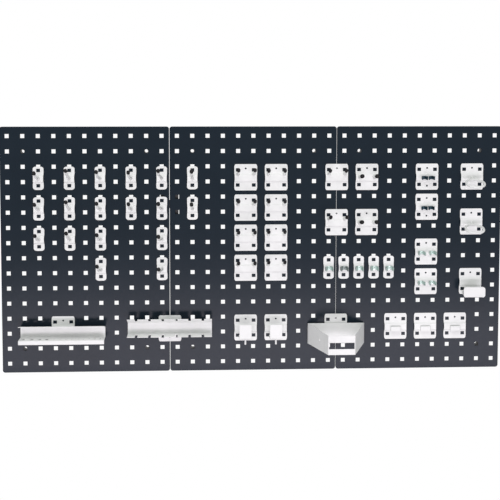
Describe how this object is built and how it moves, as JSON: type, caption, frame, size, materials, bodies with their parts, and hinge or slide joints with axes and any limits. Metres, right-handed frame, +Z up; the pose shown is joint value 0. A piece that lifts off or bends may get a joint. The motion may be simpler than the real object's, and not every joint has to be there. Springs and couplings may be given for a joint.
{
  "type": "pegboard tool wall",
  "caption": "Row of perforated steel wall panels with lift-off tool holders: hooks, prongs, spring clips, rings, a tray, a screwdriver shelf, a wrench rack and a power-tool box.",
  "frame": {"origin": "centre of the middle panel's four wall screws on the wall plane", "axes": "+X to the right along the wall, +Y into the wall, +Z up; the front faces -Y"},
  "size_m": [1.2528, 0.2239, 0.616],
  "materials": {
    "panel": "satin powder coat",
    "spacer": "matte",
    "joiner": "matte",
    "holder": "satin powder coat",
    "zinc_clip": "satin"
  },
  "bodies": {
    "wall": {"panel_left": "panel", "panel_middle": "panel", "panel_right": "panel", "wall_spacers": "spacer", "panel_joiners": "joiner"},
    "hook_c3_r3_body": {"hook_c3_r3": "holder"},
    "hook_c3_r5_body": {"hook_c3_r5": "holder"},
    "hook_c3_r7_body": {"hook_c3_r7": "holder"},
    "hook_c5_r3_body": {"hook_c5_r3": "holder"},
    "hook_c5_r5_body": {"hook_c5_r5": "holder"},
    "hook_c5_r7_body": {"hook_c5_r7": "holder"},
    "hook_c7_r3_body": {"hook_c7_r3": "holder"},
    "hook_c7_r5_body": {"hook_c7_r5": "holder"},
    "hook_c7_r7_body": {"hook_c7_r7": "holder"},
    "hook_c7_r9_body": {"hook_c7_r9": "holder"},
    "hook_c9_r3_body": {"hook_c9_r3": "holder"},
    "hook_c9_r5_body": {"hook_c9_r5": "holder"},
    "hook_c11_r3_body": {"hook_c11_r3": "holder"},
    "hook_c11_r5_body": {"hook_c11_r5": "holder"},
    "hook_c11_r7_body": {"hook_c11_r7": "holder"},
    "hook_c11_r9_body": {"hook_c11_r9": "holder"},
    "hook_c13_r3_body": {"hook_c13_r3": "holder"},
    "hook_c13_r5_body": {"hook_c13_r5": "holder"},
    "clip_c22_r9_body": {"clip_c22_r9": "zinc_clip"},
    "clip_c23_r9_body": {"clip_c23_r9": "zinc_clip"},
    "clip_c24_r9_body": {"clip_c24_r9": "zinc_clip"},
    "clip_c25_r9_body": {"clip_c25_r9": "zinc_clip"},
    "clip_c26_r9_body": {"clip_c26_r9": "zinc_clip"},
    "double_hook_c16_r3_body": {"double_hook_c16_r3": "holder"},
    "double_hook_c16_r5_body": {"double_hook_c16_r5": "holder"},
    "double_hook_c16_r7_body": {"double_hook_c16_r7": "holder"},
    "double_hook_c16_r9_body": {"double_hook_c16_r9": "holder"},
    "double_hook_c18_r3_body": {"double_hook_c18_r3": "holder"},
    "double_hook_c18_r5_body": {"double_hook_c18_r5": "holder"},
    "double_hook_c18_r7_body": {"double_hook_c18_r7": "holder"},
    "double_hook_c18_r9_body": {"double_hook_c18_r9": "holder"},
    "double_hook_c22_r3_body": {"double_hook_c22_r3": "holder"},
    "double_hook_c22_r6_body": {"double_hook_c22_r6": "holder"},
    "prongs_c24_r3_body": {"prongs_c24_r3": "holder"},
    "prongs_c24_r6_body": {"prongs_c24_r6": "holder"},
    "twin_clip_c28_r3_body": {"twin_clip_c28_r3": "zinc_clip"},
    "twin_clip_c28_r5_body": {"twin_clip_c28_r5": "zinc_clip"},
    "twin_clip_c28_r8_body": {"twin_clip_c28_r8": "zinc_clip"},
    "twin_clip_c28_r10_body": {"twin_clip_c28_r10": "zinc_clip"},
    "ring_c31_r3_body": {"ring_c31_r3": "holder"},
    "ring_c31_r6_body": {"ring_c31_r6": "holder"},
    "strap_c26_r13_body": {"strap_c26_r13": "holder"},
    "strap_c28_r13_body": {"strap_c28_r13": "holder"},
    "strap_c30_r13_body": {"strap_c30_r13": "holder"},
    "saddle_c16_r13_body": {"saddle_c16_r13": "holder"},
    "saddle_c18_r13_body": {"saddle_c18_r13": "holder"},
    "j_tray_body": {"j_tray": "holder"},
    "screwdriver_shelf_body": {"screwdriver_shelf": "holder"},
    "wrench_rack_body": {"wrench_rack": "holder"},
    "tool_box_body": {"tool_box": "holder"}
  },
  "joints": [
    {"name": "hook_c3_r3_lift", "type": "slide", "parent": "wall", "child": "hook_c3_r3_body", "axis": [0, 0, 1], "range_m": [0, 0.0075]},
    {"name": "hook_c3_r5_lift", "type": "slide", "parent": "wall", "child": "hook_c3_r5_body", "axis": [0, 0, 1], "range_m": [0, 0.0075]},
    {"name": "hook_c3_r7_lift", "type": "slide", "parent": "wall", "child": "hook_c3_r7_body", "axis": [0, 0, 1], "range_m": [0, 0.0075]},
    {"name": "hook_c5_r3_lift", "type": "slide", "parent": "wall", "child": "hook_c5_r3_body", "axis": [0, 0, 1], "range_m": [0, 0.0075]},
    {"name": "hook_c5_r5_lift", "type": "slide", "parent": "wall", "child": "hook_c5_r5_body", "axis": [0, 0, 1], "range_m": [0, 0.0075]},
    {"name": "hook_c5_r7_lift", "type": "slide", "parent": "wall", "child": "hook_c5_r7_body", "axis": [0, 0, 1], "range_m": [0, 0.0075]},
    {"name": "hook_c7_r3_lift", "type": "slide", "parent": "wall", "child": "hook_c7_r3_body", "axis": [0, 0, 1], "range_m": [0, 0.0075]},
    {"name": "hook_c7_r5_lift", "type": "slide", "parent": "wall", "child": "hook_c7_r5_body", "axis": [0, 0, 1], "range_m": [0, 0.0075]},
    {"name": "hook_c7_r7_lift", "type": "slide", "parent": "wall", "child": "hook_c7_r7_body", "axis": [0, 0, 1], "range_m": [0, 0.0075]},
    {"name": "hook_c7_r9_lift", "type": "slide", "parent": "wall", "child": "hook_c7_r9_body", "axis": [0, 0, 1], "range_m": [0, 0.0075]},
    {"name": "hook_c9_r3_lift", "type": "slide", "parent": "wall", "child": "hook_c9_r3_body", "axis": [0, 0, 1], "range_m": [0, 0.0075]},
    {"name": "hook_c9_r5_lift", "type": "slide", "parent": "wall", "child": "hook_c9_r5_body", "axis": [0, 0, 1], "range_m": [0, 0.0075]},
    {"name": "hook_c11_r3_lift", "type": "slide", "parent": "wall", "child": "hook_c11_r3_body", "axis": [0, 0, 1], "range_m": [0, 0.0075]},
    {"name": "hook_c11_r5_lift", "type": "slide", "parent": "wall", "child": "hook_c11_r5_body", "axis": [0, 0, 1], "range_m": [0, 0.0075]},
    {"name": "hook_c11_r7_lift", "type": "slide", "parent": "wall", "child": "hook_c11_r7_body", "axis": [0, 0, 1], "range_m": [0, 0.0075]},
    {"name": "hook_c11_r9_lift", "type": "slide", "parent": "wall", "child": "hook_c11_r9_body", "axis": [0, 0, 1], "range_m": [0, 0.0075]},
    {"name": "hook_c13_r3_lift", "type": "slide", "parent": "wall", "child": "hook_c13_r3_body", "axis": [0, 0, 1], "range_m": [0, 0.0075]},
    {"name": "hook_c13_r5_lift", "type": "slide", "parent": "wall", "child": "hook_c13_r5_body", "axis": [0, 0, 1], "range_m": [0, 0.0075]},
    {"name": "clip_c22_r9_lift", "type": "slide", "parent": "wall", "child": "clip_c22_r9_body", "axis": [0, 0, 1], "range_m": [0, 0.0075]},
    {"name": "clip_c23_r9_lift", "type": "slide", "parent": "wall", "child": "clip_c23_r9_body", "axis": [0, 0, 1], "range_m": [0, 0.0075]},
    {"name": "clip_c24_r9_lift", "type": "slide", "parent": "wall", "child": "clip_c24_r9_body", "axis": [0, 0, 1], "range_m": [0, 0.0075]},
    {"name": "clip_c25_r9_lift", "type": "slide", "parent": "wall", "child": "clip_c25_r9_body", "axis": [0, 0, 1], "range_m": [0, 0.0075]},
    {"name": "clip_c26_r9_lift", "type": "slide", "parent": "wall", "child": "clip_c26_r9_body", "axis": [0, 0, 1], "range_m": [0, 0.0075]},
    {"name": "double_hook_c16_r3_lift", "type": "slide", "parent": "wall", "child": "double_hook_c16_r3_body", "axis": [0, 0, 1], "range_m": [0, 0.0075]},
    {"name": "double_hook_c16_r5_lift", "type": "slide", "parent": "wall", "child": "double_hook_c16_r5_body", "axis": [0, 0, 1], "range_m": [0, 0.0075]},
    {"name": "double_hook_c16_r7_lift", "type": "slide", "parent": "wall", "child": "double_hook_c16_r7_body", "axis": [0, 0, 1], "range_m": [0, 0.0075]},
    {"name": "double_hook_c16_r9_lift", "type": "slide", "parent": "wall", "child": "double_hook_c16_r9_body", "axis": [0, 0, 1], "range_m": [0, 0.0075]},
    {"name": "double_hook_c18_r3_lift", "type": "slide", "parent": "wall", "child": "double_hook_c18_r3_body", "axis": [0, 0, 1], "range_m": [0, 0.0075]},
    {"name": "double_hook_c18_r5_lift", "type": "slide", "parent": "wall", "child": "double_hook_c18_r5_body", "axis": [0, 0, 1], "range_m": [0, 0.0075]},
    {"name": "double_hook_c18_r7_lift", "type": "slide", "parent": "wall", "child": "double_hook_c18_r7_body", "axis": [0, 0, 1], "range_m": [0, 0.0075]},
    {"name": "double_hook_c18_r9_lift", "type": "slide", "parent": "wall", "child": "double_hook_c18_r9_body", "axis": [0, 0, 1], "range_m": [0, 0.0075]},
    {"name": "double_hook_c22_r3_lift", "type": "slide", "parent": "wall", "child": "double_hook_c22_r3_body", "axis": [0, 0, 1], "range_m": [0, 0.0075]},
    {"name": "double_hook_c22_r6_lift", "type": "slide", "parent": "wall", "child": "double_hook_c22_r6_body", "axis": [0, 0, 1], "range_m": [0, 0.0075]},
    {"name": "prongs_c24_r3_lift", "type": "slide", "parent": "wall", "child": "prongs_c24_r3_body", "axis": [0, 0, 1], "range_m": [0, 0.0075]},
    {"name": "prongs_c24_r6_lift", "type": "slide", "parent": "wall", "child": "prongs_c24_r6_body", "axis": [0, 0, 1], "range_m": [0, 0.0075]},
    {"name": "twin_clip_c28_r3_lift", "type": "slide", "parent": "wall", "child": "twin_clip_c28_r3_body", "axis": [0, 0, 1], "range_m": [0, 0.0075]},
    {"name": "twin_clip_c28_r5_lift", "type": "slide", "parent": "wall", "child": "twin_clip_c28_r5_body", "axis": [0, 0, 1], "range_m": [0, 0.0075]},
    {"name": "twin_clip_c28_r8_lift", "type": "slide", "parent": "wall", "child": "twin_clip_c28_r8_body", "axis": [0, 0, 1], "range_m": [0, 0.0075]},
    {"name": "twin_clip_c28_r10_lift", "type": "slide", "parent": "wall", "child": "twin_clip_c28_r10_body", "axis": [0, 0, 1], "range_m": [0, 0.0075]},
    {"name": "ring_c31_r3_lift", "type": "slide", "parent": "wall", "child": "ring_c31_r3_body", "axis": [0, 0, 1], "range_m": [0, 0.0075]},
    {"name": "ring_c31_r6_lift", "type": "slide", "parent": "wall", "child": "ring_c31_r6_body", "axis": [0, 0, 1], "range_m": [0, 0.0075]},
    {"name": "strap_c26_r13_lift", "type": "slide", "parent": "wall", "child": "strap_c26_r13_body", "axis": [0, 0, 1], "range_m": [0, 0.0075]},
    {"name": "strap_c28_r13_lift", "type": "slide", "parent": "wall", "child": "strap_c28_r13_body", "axis": [0, 0, 1], "range_m": [0, 0.0075]},
    {"name": "strap_c30_r13_lift", "type": "slide", "parent": "wall", "child": "strap_c30_r13_body", "axis": [0, 0, 1], "range_m": [0, 0.0075]},
    {"name": "saddle_c16_r13_lift", "type": "slide", "parent": "wall", "child": "saddle_c16_r13_body", "axis": [0, 0, 1], "range_m": [0, 0.0075]},
    {"name": "saddle_c18_r13_lift", "type": "slide", "parent": "wall", "child": "saddle_c18_r13_body", "axis": [0, 0, 1], "range_m": [0, 0.0075]},
    {"name": "j_tray_lift", "type": "slide", "parent": "wall", "child": "j_tray_body", "axis": [0, 0, 1], "range_m": [0, 0.0075]},
    {"name": "screwdriver_shelf_lift", "type": "slide", "parent": "wall", "child": "screwdriver_shelf_body", "axis": [0, 0, 1], "range_m": [0, 0.0075]},
    {"name": "wrench_rack_lift", "type": "slide", "parent": "wall", "child": "wrench_rack_body", "axis": [0, 0, 1], "range_m": [0, 0.0075]},
    {"name": "tool_box_lift", "type": "slide", "parent": "wall", "child": "tool_box_body", "axis": [0, 0, 1], "range_m": [0, 0.0075]}
  ]
}
